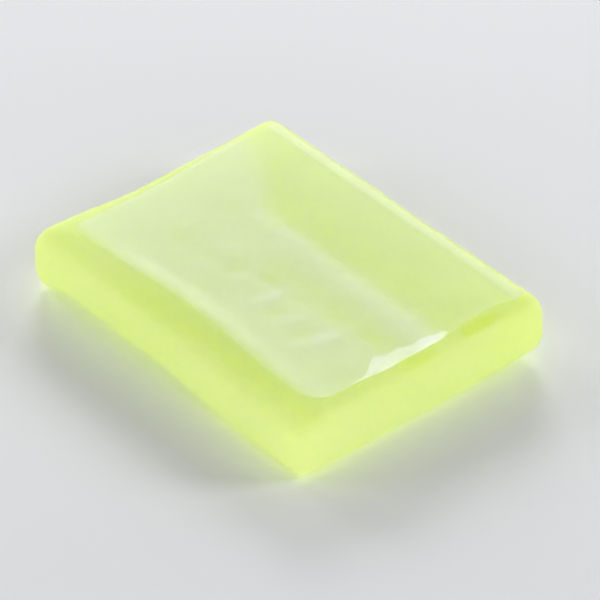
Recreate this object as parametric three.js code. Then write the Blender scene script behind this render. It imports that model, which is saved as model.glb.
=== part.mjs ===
// A detailing clay bar: one soft slab of kneadable clay between two thin release films.
// Millimetres, +Z up. +X runs along the slab's long side. The origin is the middle of the
// base film's underside, which is the middle of the bar's footprint on the bench.
import * as THREE from "three";

// The slab, cut from an extruded strip and pressed, so that every edge is rounded.
const BAR_LENGTH = 80;
const BAR_WIDTH = 60;
const BAR_HEIGHT = 14;
const BAR_CORNER_RADIUS = 5; // the four upright corners, seen from above
const BAR_SHOULDER_RADIUS = 2.5; // the edges between the walls and the two large faces

// The release films. Each clings to the clay and is drawn a hair's breadth off it.
const FILM_THICKNESS = 0.15;
const FILM_CLING_GAP = 0.05;
const FILM_CORNER_RADIUS = 1.5;

// The top film reaches nearly to the slab's +X and +Y edges and stops short of the other two.
const TOP_FILM_LENGTH = 71.5;
const TOP_FILM_WIDTH = 52;
const TOP_FILM_SHIFT_X = 1.25;
const TOP_FILM_SHIFT_Y = 1.5;

// The base film is cut smaller than the flat underside, so the slab hides it from above.
const BASE_FILM_LENGTH = 68;
const BASE_FILM_WIDTH = 48;

// How finely the round edges are faceted.
const CORNER_STEPS = 10; // per quarter turn
const SHOULDER_STEPS = 6;

const clayMaterial = new THREE.MeshStandardMaterial({ color: 0xd9f07a, roughness: 0.5, metalness: 0 });
const filmMaterial = new THREE.MeshStandardMaterial({
  color: 0xeef7dc,
  roughness: 0.3,
  metalness: 0,
  transparent: true,
  opacity: 0.6,
});

// A rectangle about the origin with its four corners rounded.
function roundedRectangle(length, width, radius) {
  const x = length / 2 - radius;
  const y = width / 2 - radius;
  const outline = new THREE.Shape();
  outline.absarc(x, y, radius, 0, Math.PI / 2);
  outline.absarc(-x, y, radius, Math.PI / 2, Math.PI);
  outline.absarc(-x, -y, radius, Math.PI, 1.5 * Math.PI);
  outline.absarc(x, -y, radius, 1.5 * Math.PI, 2 * Math.PI);
  outline.closePath();
  return outline;
}

// A block standing on z = 0 whose top and bottom edges are rounded by the shoulder radius.
function pressedSlab(length, width, height, cornerRadius, shoulder) {
  const core = roundedRectangle(length - 2 * shoulder, width - 2 * shoulder, cornerRadius - shoulder);
  const slab = new THREE.ExtrudeGeometry(core, {
    depth: height - 2 * shoulder,
    bevelThickness: shoulder,
    bevelSize: shoulder,
    bevelSegments: SHOULDER_STEPS,
    curveSegments: CORNER_STEPS,
  });
  return slab.translate(0, 0, shoulder);
}

// A flat sheet of film standing on z = 0.
function filmSheet(length, width) {
  return new THREE.ExtrudeGeometry(roundedRectangle(length, width, FILM_CORNER_RADIUS), {
    depth: FILM_THICKNESS,
    bevelEnabled: false,
    curveSegments: CORNER_STEPS,
  });
}

function namedMesh(name, geometry, material, x, y, z) {
  const mesh = new THREE.Mesh(geometry, material);
  mesh.name = name;
  mesh.position.set(x, y, z);
  return mesh;
}

// The stack, from the bench upwards.
const clayBottom = FILM_THICKNESS + FILM_CLING_GAP;
const topFilmBottom = clayBottom + BAR_HEIGHT + FILM_CLING_GAP;

const baseFilm = namedMesh(
  "base_release_film",
  filmSheet(BASE_FILM_LENGTH, BASE_FILM_WIDTH),
  filmMaterial,
  0,
  0,
  0,
);

const clayBar = namedMesh(
  "clay_bar",
  pressedSlab(BAR_LENGTH, BAR_WIDTH, BAR_HEIGHT, BAR_CORNER_RADIUS, BAR_SHOULDER_RADIUS),
  clayMaterial,
  0,
  0,
  clayBottom,
);

const topFilm = namedMesh(
  "top_release_film",
  filmSheet(TOP_FILM_LENGTH, TOP_FILM_WIDTH),
  filmMaterial,
  TOP_FILM_SHIFT_X,
  TOP_FILM_SHIFT_Y,
  topFilmBottom,
);

const bar = new THREE.Group();
bar.add(baseFilm, clayBar, topFilm);

export default bar;
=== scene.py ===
import math

import bmesh
import bpy
import numpy as np
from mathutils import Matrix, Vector, noise
from mathutils.bvhtree import BVHTree


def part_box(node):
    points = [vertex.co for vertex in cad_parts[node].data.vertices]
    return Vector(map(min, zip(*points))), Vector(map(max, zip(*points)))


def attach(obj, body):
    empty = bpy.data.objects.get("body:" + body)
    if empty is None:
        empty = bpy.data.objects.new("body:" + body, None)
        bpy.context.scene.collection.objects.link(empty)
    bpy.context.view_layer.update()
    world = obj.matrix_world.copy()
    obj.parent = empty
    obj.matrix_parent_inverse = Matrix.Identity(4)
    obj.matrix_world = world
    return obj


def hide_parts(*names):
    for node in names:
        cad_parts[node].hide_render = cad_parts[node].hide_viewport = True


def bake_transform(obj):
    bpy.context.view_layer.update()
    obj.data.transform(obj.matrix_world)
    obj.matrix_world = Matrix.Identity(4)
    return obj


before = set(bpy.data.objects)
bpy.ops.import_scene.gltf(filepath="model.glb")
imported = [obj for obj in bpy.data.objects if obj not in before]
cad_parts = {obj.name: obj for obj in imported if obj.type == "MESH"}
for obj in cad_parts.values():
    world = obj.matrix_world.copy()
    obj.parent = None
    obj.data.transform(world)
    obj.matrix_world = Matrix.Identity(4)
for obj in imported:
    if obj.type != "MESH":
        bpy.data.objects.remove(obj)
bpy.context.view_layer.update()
MM = 0.001

# ---------------------------------------------------------------------------------------------
# The clay slab. It is cut from an extruded strip, pressed and squared up by hand, so its corners
# stand out a little, its edges are pulled in between them and no face is quite flat.
# ---------------------------------------------------------------------------------------------
slab_low, slab_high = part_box("clay_bar")
slab_middle = (slab_low + slab_high) / 2
half_length, half_width, half_height = (slab_high - slab_low) / 2 / MM
upright_radius = 4.2
top_edge_radius = 1.6
base_edge_radius = 2.8
slab_grain = 0.45  # spacing of the surface mesh, in millimetres


def choose(mesh_object, wanted):
    """In edit mode, selects the edges whose two ends both pass the test, and nothing else."""
    bpy.ops.mesh.select_all(action="DESELECT")
    bpy.ops.mesh.select_mode(type="EDGE")
    edit = bmesh.from_edit_mesh(mesh_object.data)
    for edge in edit.edges:
        edge.select = wanted(edge.verts[0].co, edge.verts[1].co)
    edit.select_flush(True)
    bmesh.update_edit_mesh(mesh_object.data)


def vertex_places(mesh_object):
    """The vertices as an array, in millimetres."""
    places = np.empty(len(mesh_object.data.vertices) * 3)
    mesh_object.data.vertices.foreach_get("co", places)
    return places.reshape(-1, 3) / MM


def move_vertices(mesh_object, places):
    mesh_object.data.vertices.foreach_set("co", (places * MM).ravel())
    mesh_object.data.update()


def store_on_points(mesh_object, name, values):
    """Keeps one number for each vertex, which a material reads by its name."""
    attribute = mesh_object.data.attributes.new(name, "FLOAT", "POINT")
    attribute.data.foreach_set("value", values.astype(np.float32))


def ease(value, start, end):
    """0 before start, 1 after end and a smooth S between them."""
    t = np.clip((value - start) / (end - start), 0, 1)
    return t * t * (3 - 2 * t)


def ripple(x, y, z, size, seed):
    """Smooth random unevenness from -1 to 1, whose lumps are about the given size across."""
    return np.array(
        [noise.noise((a / size + seed, b / size - seed, c / size)) for a, b, c in zip(x, y, z)]
    )


bpy.ops.object.select_all(action="DESELECT")
bpy.ops.mesh.primitive_cube_add(size=1, location=slab_middle, scale=slab_high - slab_low)
slab = bpy.context.object
slab.name = "clay_slab"
bpy.ops.object.transform_apply(location=True, rotation=False, scale=True)
bpy.ops.object.mode_set(mode="EDIT")
choose(slab, lambda a, b: abs(a.z - b.z) > MM)
bpy.ops.mesh.bevel(offset=upright_radius * MM, segments=8, affect="EDGES")
choose(slab, lambda a, b: min(a.z, b.z) > slab_high.z - MM / 10)
bpy.ops.mesh.bevel(offset=top_edge_radius * MM, segments=6, affect="EDGES")
choose(slab, lambda a, b: max(a.z, b.z) < slab_low.z + MM / 10)
bpy.ops.mesh.bevel(offset=base_edge_radius * MM, segments=8, affect="EDGES")
bpy.ops.object.mode_set(mode="OBJECT")
remesh = slab.modifiers.new("even_mesh", "REMESH")
remesh.mode = "VOXEL"
remesh.voxel_size = slab_grain * MM
bpy.ops.object.modifier_apply(modifier=remesh.name)
relax = slab.modifiers.new("relax", "SMOOTH")
relax.factor = 0.5
relax.iterations = 4
bpy.ops.object.modifier_apply(modifier=relax.name)


def press_slab(places):
    """Moves the slab's surface as the press and the hands do."""
    x, y = places[:, 0], places[:, 1]
    z = places[:, 2] - slab_low.z / MM
    across = x / half_length
    along = y / half_width
    up = z / (2 * half_height)
    side_corner = np.clip(across * along, 0, 1)  # 1 at the left and right corners only
    # The walls pull in between the corners and belly out at mid height.
    pull_x = np.where(x < 0, 0.8 + 0.8 * np.exp(-(((y + 8) / 9) ** 2)), 0.5) * (1 - along**2) * across
    pull_y = np.where(y < 0, 0.1, -0.1) * (1 - across**2) * along
    belly = 0.35 * np.sin(math.pi * np.clip(up, 0, 1))
    x_new = x - pull_x + (belly + 0.4 * side_corner**4) * ease(np.abs(across), 0.88, 1) * np.sign(x)
    y_new = y - pull_y + (belly + 0.4 * side_corner**4) * ease(np.abs(along), 0.88, 1) * np.sign(y)
    # The top rim sags between the corners, and its front edge and left corner are rubbed down.
    rim_sag = 0.45 * (1 - along**2) * ease(np.abs(across), 0.7, 1)
    rim_sag += np.where(y < 0, 0.3, 0.05) * (1 - across**2) * ease(np.abs(along), 0.7, 1)
    rubbed = 1.1 * ease(-y, half_width - 7, half_width) * ease(x, -28, 36)
    rubbed += np.where(x < 0, 0.8, -0.5) * side_corner**4
    # The base edge is tucked in, most of all under the two side corners.
    tucked = 0.2 + np.where(x < 0, 0.0, 2.4) * side_corner**3 + 0.7 * np.clip(-across * along, 0, 1) ** 4
    tucked += 2.0 * ease(x, -38, -30) * ease(-x, -18, 2) * (y < 0)
    tucked *= (1 - ease(up, 0, 0.45)) * ease(np.maximum(np.abs(across), np.abs(along)), 0.8, 1)
    z_new = z - (rim_sag + rubbed) * ease(up, 0.5, 1) + tucked
    unevenness = ripple(x, y, z, 17, 3.1)
    dimples = ripple(x, y, z, 6, 9.4)
    off_base = ease(up, 0.05, 0.3)
    x_new += (0.22 * unevenness + 0.05 * dimples) * ease(np.abs(across), 0.8, 1)
    y_new += (0.22 * unevenness - 0.05 * dimples) * ease(np.abs(along), 0.8, 1)
    z_new += (0.12 * unevenness + 0.03 * dimples) * off_base * ease(up, 0.6, 1)
    return np.stack([x_new, y_new, z_new + slab_low.z / MM], axis=1)


pressed = press_slab(vertex_places(slab))
move_vertices(slab, pressed)
bpy.ops.object.shade_smooth()

# The clay is painted a darker, more saturated colour in a strip along the front shoulder and in two patches
# on the +X one, just beyond the edges of the top film. This is painted shade, standing in for the shadow
# that the film's raised edges cast there.
x, y, z = pressed.T
front_shade_strip = ease(-y, 23.0, 25.5) * ease(-y, -29.2, -27.4) * ease(x, -27, -10) * ease(z, 12.2, 13.6)
side_shade_patch = ease(x, 35.4, 36.6) * ease(-x, -38.6, -37.4) * ease(y, 10, 12.5) * ease(-y, -21, -17)
edge_shadow_gap = 0.7 * ease(x, 36.5, 37.3) * ease(-x, -39.0, -38.2) * ease(y, -5, -2) * ease(-y, -6, -3)
film_edge_shade = 0.2 * front_shade_strip + 0.65 * (side_shade_patch + edge_shadow_gap) * ease(z, 11.8, 13.2)
store_on_points(slab, "painted_film_shade", film_edge_shade)

# A band round the base rim gives off a little light of its own. It is a stand-in for light that
# comes out of the translucent body there, and it brightens the bench close to the walls.
at_corner = np.clip(x * y / (half_length * half_width), 0, 1) ** 2
in_from_edge = np.minimum(half_length - np.abs(x), half_width - np.abs(y))
rim_light = ease(-z, -3.0, -1.0) * ease(-in_from_edge, -3.5, -2.0) * (1 - at_corner)
store_on_points(slab, "rim_light", rim_light)


class Wire:
    """A shader socket that takes part in Python arithmetic: each operation adds a Math node."""

    def __init__(self, paint, socket):
        self.paint = paint
        self.socket = socket

    def _math(self, operation, other, swapped=False):
        values = (other, self) if swapped else (self, other)
        return self.paint.node("ShaderNodeMath", {"operation": operation}, *values)

    def __add__(self, other):
        return self._math("ADD", other)

    __radd__ = __add__

    def __mul__(self, other):
        return self._math("MULTIPLY", other)

    __rmul__ = __mul__

    def __sub__(self, other):
        return self._math("SUBTRACT", other)

    def __rsub__(self, other):
        return self._math("SUBTRACT", other, swapped=True)

    def span(self, low, high, new_low=0.0, new_high=1.0):
        """This value carried from one range to another, and held at the ends."""
        return self.paint.node("ShaderNodeMapRange", {}, self, low, high, new_low, new_high)


class Paint:
    """The nodes of one material, or of the room's light."""

    def __init__(self, owner):
        owner.use_nodes = True
        self.owner = owner
        self.tree = owner.node_tree
        self.tree.nodes.clear()

    def feed(self, socket, value):
        """Links a wire to the socket, or sets the socket to a plain value."""
        if isinstance(value, Wire):
            self.tree.links.new(value.socket, socket)
        else:
            socket.default_value = value

    def node(self, kind, settings, *values, out=0, **named):
        made = self.tree.nodes.new(kind)
        for key, value in settings.items():
            setattr(made, key, value)
        for socket, value in zip([s for s in made.inputs if s.enabled], values):
            self.feed(socket, value)
        for key, value in named.items():
            self.feed(made.inputs[key.replace("_", " ")], value)
        return Wire(self, made.outputs[out])

    def mix_color(self, factor, a, b):
        made = self.tree.nodes.new("ShaderNodeMix")
        made.data_type = "RGBA"
        self.feed(made.inputs[0], factor)
        self.feed(made.inputs[6], a)
        self.feed(made.inputs[7], b)
        return Wire(self, made.outputs[2])

    def finish(self, shader, output="ShaderNodeOutputMaterial"):
        self.feed(self.tree.nodes.new(output).inputs["Surface"], shader)
        return self.owner


clay_paint = Paint(bpy.data.materials.new("fluorescent_clay"))
place = clay_paint.node("ShaderNodeTexCoord", {}, out=3)
cloud = clay_paint.node("ShaderNodeTexNoise", {}, Vector=place, Scale=70.0, Detail=3.0)
grain = clay_paint.node("ShaderNodeTexNoise", {}, Vector=place, Scale=1600.0, Detail=2.0)
pale_clay = clay_paint.mix_color(cloud.span(0.35, 0.65), (0.855, 0.934, 0.385, 1), (0.885, 0.944, 0.455, 1))
# Painted shade beside the top film's edges: the clay colour is mixed towards a darker, more saturated green
# there.
film_shade_wire = clay_paint.node("ShaderNodeAttribute", {"attribute_name": "painted_film_shade"}, out=2)
clay_color_and_shade = clay_paint.mix_color(film_shade_wire, pale_clay, (0.80, 0.98, 0.12, 1))
rim_wire = clay_paint.node("ShaderNodeAttribute", {"attribute_name": "rim_light"}, out=2)
# Away from the rim band the clay still gives off a faint green light of its own all over: a painted glow
# standing in for its fluorescence.
clay_emission = clay_paint.mix_color(rim_wire, (0.009, 0.03, 0, 1), (0.24, 0.26, 0.01, 1))
clay_bump = clay_paint.node("ShaderNodeBump", {}, Height=grain, Strength=0.25, Distance=0.00003)
clay_shader = clay_paint.node(
    "ShaderNodeBsdfPrincipled",
    {"subsurface_method": "RANDOM_WALK"},
    Base_Color=clay_color_and_shade,
    Roughness=cloud.span(0.3, 0.7, 0.42, 0.55),
    IOR=1.45,
    Subsurface_Weight=1.0,
    Subsurface_Radius=(1.0, 1.0, 0.35),
    Subsurface_Scale=0.006,
    Normal=clay_bump,
    Emission_Color=clay_emission,
    Emission_Strength=1.0,
)
clay_glow = clay_paint.node("ShaderNodeBsdfTranslucent", {}, Color=(0.90, 0.99, 0.42, 1))
clay_look = clay_paint.node("ShaderNodeMixShader", {}, 0.4, clay_shader, clay_glow)
slab.data.materials.clear()
slab.data.materials.append(clay_paint.finish(clay_look))
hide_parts("clay_bar")
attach(slab, "clay")

# ---------------------------------------------------------------------------------------------
# The top release film. It is a thin milky sheet that was laid on the warm slab: behind its crease
# it has wetted onto the clay and is almost clear, in front of it there is air under it. Its -Y edge
# stands off the slab's rubbed shoulder, and its +X edge is turned back on itself over a short run.
# ---------------------------------------------------------------------------------------------
film_low, film_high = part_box("top_release_film")
film_thickness = 0.06
film_grain = 0.42
film_rest = film_low.z / MM
film_length = (film_high.x - film_low.x) / MM
film_width = (film_high.y - film_low.y) / MM
film_right = film_high.x / MM


def slab_top_finder():
    """Looks straight down onto the finished slab."""
    tree = BVHTree.FromPolygons(
        [v.co for v in slab.data.vertices], [tuple(p.vertices) for p in slab.data.polygons]
    )

    def height_under(x, y):
        hit = tree.ray_cast(Vector((x * MM, y * MM, 0.05)), Vector((0, 0, -1)))[0]
        return hit.z / MM if hit else 0.0

    return height_under


def bump(distance, reach):
    """1 at no distance, and fading to nothing over the reach."""
    return np.exp(-((distance / reach) ** 2))


def rounded(x, y, corner_x, corner_y, radius):
    """Rounds one corner of a rectangular sheet, whose middle is near the origin."""
    side_x, side_y = math.copysign(1, corner_x), math.copysign(1, corner_y)
    a = np.clip(side_x * (x - corner_x) / radius + 1, 0, None)
    b = np.clip(side_y * (y - corner_y) / radius + 1, 0, None)
    inside = (a > 0) & (b > 0)
    pull = np.maximum(a, b) / np.maximum(np.hypot(a, b), 1e-6)
    x_new = corner_x + side_x * radius * (a * pull - 1)
    y_new = corner_y + side_y * radius * (b * pull - 1)
    return np.where(inside, x_new, x), np.where(inside, y_new, y)


bpy.ops.object.select_all(action="DESELECT")
bpy.ops.mesh.primitive_grid_add(
    x_subdivisions=round(film_length / film_grain), y_subdivisions=round(film_width / film_grain), size=1
)
film = bpy.context.object
film.name = "top_film"
flat = vertex_places(film) * MM
u = flat[:, 0] + 0.5
v = flat[:, 1] + 0.5
flat_x = film_low.x / MM + film_length * u
flat_y = film_low.y / MM + film_width * v
for corner_x, corner_y, radius in (
    (film_right, film_low.y / MM, 5.5),
    (film_low.x / MM, film_low.y / MM, 2.5),
    (film_right, film_high.y / MM, 2),
    (film_low.x / MM, film_high.y / MM, 1.5),
):
    flat_x, flat_y = rounded(flat_x, flat_y, corner_x, corner_y, radius)

# Where the four edges come to lie: the -X edge a little askew, the -Y edge bowed in, and a shallow
# bite out of the +X edge behind the turned-back run.
x = flat_x + 0.5 * (1 - u) - 1.7 * ease(v, 0.35, 0.8) * (1 - u) - 0.5 * u
x -= 1.2 * ease(flat_y, 9.5, 11.5) * ease(-flat_y, -25, -22) * ease(u, 0.9, 1)
y = flat_y + 0.1 + 1.2 * bump(flat_x, 20) * (1 - v) - 0.5 * ease(v, 0.8, 1)

under = slab_top_finder()
slab_z = np.array([under(a, b) for a, b in zip(x, y)])

# Behind this line the film is stuck down, and in front of it there is air under it.
wetted_from = 7.5 + 11 * ease(-x, 10, 34)
airy = 1 - ease(y - wetted_from, -4.2, 2.4 + 2.0 * ease(-x, 8, 26))
margin = ease(y, 23.8, 25.5)
front_edge = -24.4 + 1.2 * bump(x, 20)
standing = ease(front_edge - y, -6, 0) * (0.15 + 0.75 * bump(x - 2, 22))
crease = 0.10 * bump(y - 4.8, 3.0) * ease(x, -30, -12)

# Short wrinkles cross the airy part in a row, with the film sucked down between them.
ridges = 0 * x
for ridge_x, tall in ((-16, 0.05), (-9, 0.06), (-1.5, 0.08), (6.7, 0.20), (15, 0.13), (22.9, 0.20)):
    lean = x - ridge_x - 0.12 * (y + 10.5)
    ridges += tall * bump(lean, 1.5) * bump(y + 10.5, 3.4)
sucked = 0.6 * bump(y + 2.6, 3.4) * ease(x, -10, 6)
for spot_x, spot_y, wide, deep, depth in (
    (28, -3, 4.0, 2.8, 0.9),
    (19, -4.5, 3.4, 1.7, 0.7),
    (3, -6.2, 3.4, 1.7, 0.7),
    (11.2, -5.5, 3.0, 2.2, 0.55),
    (11, -12.5, 1.9, 2.6, 0.45),
    (19, -12.5, 1.9, 2.4, 0.45),
    (-3.5, -8.5, 3.2, 2.4, 0.45),
    (-10, -10.4, 4.0, 2.2, 0.4),
    (-16, -10.6, 3.2, 1.8, 0.35),
):
    sucked = np.maximum(sucked, depth * bump(x - spot_x, wide) * bump(y - spot_y, deep))
puckers = 0.05 * ripple(x, y, 0 * x, 7, 5.2) + 0.018 * ripple(x, y, 0 * x, 2.6, 8.8)
air = 0.20 * airy * (1 - sucked) + crease + 0.3 * ridges + 0.10 * margin
air += puckers * (0.25 + 0.75 * airy)
stuck_z = slab_z + 0.02 + (air + np.sqrt(air**2 + 0.002)) / 2
bridging_z = film_rest - 0.12 + standing + air
z = (stuck_z + bridging_z + np.sqrt((stuck_z - bridging_z) ** 2 + 0.01)) / 2

# The turned-back run of the +X edge: past the fold line the film swings up and over.
run = ease(y, -14.8, -10.0) * ease(-y, -10.2, -6.0)
slack = run * (1.1 + 0.04 * (y + 10))  # the film is pushed out this far before it turns
turn_x = 35.7 - 0.06 * (y + 10)
flap = (4.5 - 0.12 * (y + 10)) * (1 + 0.06 * np.sin(1.1 * y) + 0.03 * np.sin(2.3 * y))
spare = np.maximum(x - turn_x, 0)
reach = spare * (1 - run + run * flap / (film_right - 0.5 - turn_x))
swing_radius = 0.75
full_swing = 1.85
swing = np.clip(reach / swing_radius, 0, full_swing)
straight = np.maximum(reach - full_swing * swing_radius, 0)
arc_x = swing_radius * np.sin(swing) + straight * math.cos(full_swing)
arc_z = swing_radius * (1 - np.cos(swing)) + straight * math.sin(full_swing)
over = x > turn_x
x = np.where(over, turn_x + run * arc_x + (1 - run) * spare, x) + slack * ease(x, 24, 35)
z = z + np.where(over, run * arc_z, 0)
move_vertices(film, np.stack([x, y, z], axis=1))

milkiness = airy * (1 - sucked) + 0.35 * airy * bump(y - 4.6, 3.4) * ease(x, -22, -4)
milkiness += 0.75 * margin
milkiness += 0.25 * ease(y, 12, 22)
milkiness = 1.25 * milkiness + 5.0 * ridges
milkiness *= 1 - 0.8 * ease(front_edge - y, -3.2, 0.3) * airy
milkiness = np.maximum(milkiness, 1.15 * run * ease(reach, 0.4, 2.0))
store_on_points(film, "milky", milkiness)
shell = film.modifiers.new("thickness", "SOLIDIFY")
shell.thickness = film_thickness * MM
shell.offset = 1
bpy.ops.object.modifier_apply(modifier=shell.name)
bpy.ops.object.shade_smooth()

film_paint = Paint(bpy.data.materials.new("release_film"))
milky_wire = film_paint.node("ShaderNodeAttribute", {"attribute_name": "milky"}, out=2)
place = film_paint.node("ShaderNodeTexCoord", {}, out=3)
mist = film_paint.node("ShaderNodeTexNoise", {}, Vector=place, Scale=150.0, Detail=3.0)
haze = milky_wire.span(0, 3, 0.05, 0.58) * mist.span(0.3, 0.7, 0.85, 1.15)
film_surface = film_paint.node(
    "ShaderNodeBsdfPrincipled", {}, Base_Color=(0.97, 0.98, 0.95, 1), Roughness=0.36, IOR=1.45
)
film_glow = film_paint.node("ShaderNodeBsdfTranslucent", {}, Color=(0.97, 0.99, 0.95, 1))
film_body = film_paint.node("ShaderNodeMixShader", {}, 0.25, film_surface, film_glow)
film_clear = film_paint.node("ShaderNodeBsdfTransparent", {}, Color=(1, 1, 1, 1))
film_look = film_paint.node("ShaderNodeMixShader", {}, haze, film_clear, film_body)
film.data.materials.clear()
film.data.materials.append(film_paint.finish(film_look))
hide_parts("top_release_film")
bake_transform(film)

# ---------------------------------------------------------------------------------------------
# The base release film. It is the same thin sheet, cut smaller than the slab's underside, and it lies
# slightly rumpled on the bench under the slab, which sticks to it lightly.
# ---------------------------------------------------------------------------------------------
base_low, base_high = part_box("base_release_film")
base_grain = 0.8
base_length = (base_high.x - base_low.x) / MM
base_width = (base_high.y - base_low.y) / MM
bpy.ops.object.select_all(action="DESELECT")
bpy.ops.mesh.primitive_grid_add(
    x_subdivisions=round(base_length / base_grain), y_subdivisions=round(base_width / base_grain), size=1
)
base_film = bpy.context.object
base_film.name = "base_film"
flat = vertex_places(base_film) * MM
x = flat[:, 0] * base_length
y = flat[:, 1] * base_width
lift = 0.045 + 0.03 * ripple(x, y, 0 * x, 5, 2.2) + 0.012 * ripple(x, y, 0 * x, 2, 6.1)
move_vertices(base_film, np.stack([x, y, np.clip(lift, 0.005, 0.1)], axis=1))
store_on_points(base_film, "milky", lift * 12)
shell = base_film.modifiers.new("thickness", "SOLIDIFY")
shell.thickness = film_thickness * MM
shell.offset = 1
bpy.ops.object.modifier_apply(modifier=shell.name)
bpy.ops.object.shade_smooth()
base_film.data.materials.clear()
base_film.data.materials.append(film_paint.owner)
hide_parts("base_release_film")
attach(base_film, "base_film")

# ---------------------------------------------------------------------------------------------
# The bench, the light and the camera. The bench is a pale matt top. Five soft panels stand behind
# and beside the slab, and the room has a low bright band. Their powers are fitted, not round, values.
# ---------------------------------------------------------------------------------------------
view_azimuth = math.radians(49.85)
view_elevation = math.radians(37.3)
camera_distance = 0.854
lens_mm = 273.2
towards_camera = Vector(
    (
        math.sin(view_azimuth) * math.cos(view_elevation),
        -math.cos(view_azimuth) * math.cos(view_elevation),
        math.sin(view_elevation),
    )
)
sideways = Vector((math.cos(view_azimuth), math.sin(view_azimuth), 0))
upwards = towards_camera.cross(sideways)
look_at = Vector((0, 0, 0.007)) + sideways * 0.0026 - upwards * 0.0016
bpy.ops.object.select_all(action="DESELECT")
bpy.ops.object.camera_add(location=look_at + towards_camera * camera_distance)
camera = bpy.context.object
camera.rotation_euler = towards_camera.to_track_quat("Z", "Y").to_euler()
camera.data.lens = lens_mm
camera.data.sensor_width = 36
bpy.context.scene.camera = camera

bpy.ops.object.select_all(action="DESELECT")
bpy.ops.mesh.primitive_plane_add(size=6, location=(0, 0, 0))
bench = bpy.context.object
bench.name = "bench"
bench_paint = Paint(bpy.data.materials.new("pale_bench"))
bench_shader = bench_paint.node(
    "ShaderNodeBsdfPrincipled", {}, Base_Color=(0.845, 0.845, 0.85, 1), Roughness=0.55, IOR=1.35
)
bench.data.materials.append(bench_paint.finish(bench_shader))

panel_height = math.radians(26.5)  # elevation of the light panels, seen from the slab
panel_distance = 1.6


def bearing(degrees_round):
    """A level direction, counted from the camera's side, to the right in its view."""
    turn = math.radians(degrees_round)
    ahead = Vector((math.sin(view_azimuth), -math.cos(view_azimuth), 0))
    return ahead * math.cos(turn) + sideways * math.sin(turn)


for name, degrees_round, watts in (
    ("back_panel", 180, 6.8),
    ("back_left_panel", -135, 3.9),
    ("back_right_panel", 135, 1.2),
    ("left_panel", -90, 4.3),
    ("right_panel", 90, 9.5),
):
    panel_from = bearing(degrees_round) * math.cos(panel_height) + Vector((0, 0, math.sin(panel_height)))
    bpy.ops.object.light_add(type="AREA", location=panel_from * panel_distance)
    panel = bpy.context.object
    panel.name = name
    panel.rotation_euler = panel_from.to_track_quat("Z", "Y").to_euler()
    panel.data.shape = "RECTANGLE"
    panel.data.size = 0.55
    panel.data.size_y = 0.40
    panel.data.energy = watts
    panel.data.color = (0.98, 0.99, 1.01)

# The room is dim overhead and brightest in a low band in front of the slab and behind it.
world = bpy.data.worlds.new("studio_light")
bpy.context.scene.world = world
room = Paint(world)
direction = room.node("ShaderNodeTexCoord", {}, out=0)
height = room.node("ShaderNodeSeparateXYZ", {}, direction, out=2)
low_band = room.node("ShaderNodeMath", {"operation": "POWER"}, 1 - height.span(0, 1), 3)
brightness = 0.15
for degrees_round, strength in ((0, 5.9), (180, 4.5), (-90, 1.4)):
    facing = room.node(
        "ShaderNodeVectorMath",
        {"operation": "DOT_PRODUCT"},
        direction,
        tuple(bearing(degrees_round)),
        out=1,
    ).span(0, 1)
    brightness = low_band * facing * facing * strength + brightness
background = room.node("ShaderNodeBackground", {}, (0.98, 0.99, 1.01, 1), brightness)
room.finish(background, output="ShaderNodeOutputWorld")

scene = bpy.context.scene
scene.view_settings.view_transform = "Standard"
scene.cycles.use_denoising = True
scene.cycles.denoising_input_passes = "RGB"
scene.cycles.max_bounces = 16
scene.cycles.diffuse_bounces = 12
scene.cycles.transmission_bounces = 12
scene.cycles.transparent_max_bounces = 16
